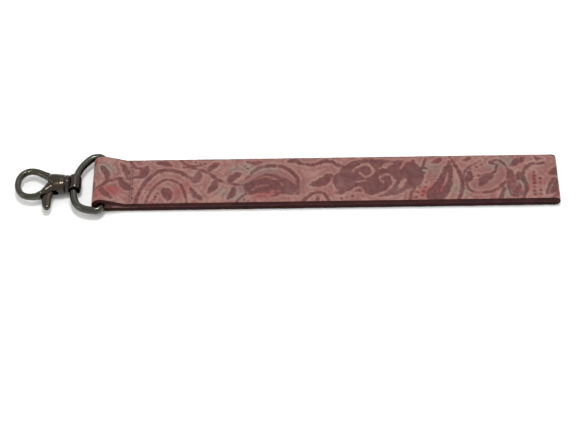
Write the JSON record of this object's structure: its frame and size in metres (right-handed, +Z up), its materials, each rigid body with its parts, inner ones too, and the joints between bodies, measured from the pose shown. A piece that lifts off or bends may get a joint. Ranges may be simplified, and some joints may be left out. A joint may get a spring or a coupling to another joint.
{
  "type": "wristlet keychain",
  "caption": "Flat folded wrist strap with a D-ring stitched into one end and a swivel clasp with a sprung gate.",
  "frame": {"origin": "centre of the part's box, on the surface that the strap lies on", "axes": "+X from the clasp to the strap's folded end, +Y across the strap, +Z up from the surface"},
  "size_m": [0.245, 0.0334, 0.0084],
  "materials": {
    "printed_fabric": "ribbed cloth with a printed pattern",
    "interfacing": "matt",
    "lining": "plain weave",
    "edge_coat": "dark satin edge",
    "thread": "twisted thread",
    "ring_metal": "dark nickel plating, polished",
    "clasp_metal": "dark nickel plating, polished",
    "spring_steel": "drawn wire"
  },
  "bodies": {
    "strap": {"strap_face": "printed_fabric", "strap_core": "interfacing", "strap_lining": "lining", "strap_edge_front": "edge_coat", "strap_edge_back": "edge_coat", "seam_allowance": "printed_fabric", "needle_thread": "thread", "bobbin_thread": "thread"},
    "ring": {"d_ring": "ring_metal"},
    "eye": {"swivel_eye": "clasp_metal"},
    "clasp": {"hook_body": "clasp_metal", "gate_pin": "clasp_metal", "gate_spring": "spring_steel"},
    "gate": {"gate_lever": "clasp_metal"}
  },
  "joints": [
    {"name": "ring_turn", "type": "hinge", "parent": "strap", "child": "ring", "pos_m": [-0.0829, 0, 0.0042], "axis": [0, 1, 0], "range_deg": [-80, 80]},
    {"name": "eye_swing", "type": "hinge", "parent": "ring", "child": "eye", "pos_m": [-0.09535, 0, 0.0042], "axis": [0, 1, 0], "range_deg": [-55, 55]},
    {"name": "clasp_swivel", "type": "hinge", "parent": "eye", "child": "clasp", "pos_m": [-0.1, 0, 0.0042], "axis": [1, 0, 0], "continuous": true},
    {"name": "gate_open", "type": "hinge", "parent": "clasp", "child": "gate", "pos_m": [-0.1054, -0.0012, 0.0042], "axis": [0, 0, 1], "range_deg": [0, 25], "stiffness_Nm_per_rad": 0.03, "springref_deg": -8.59, "deforming": ["gate_spring"]}
  ]
}
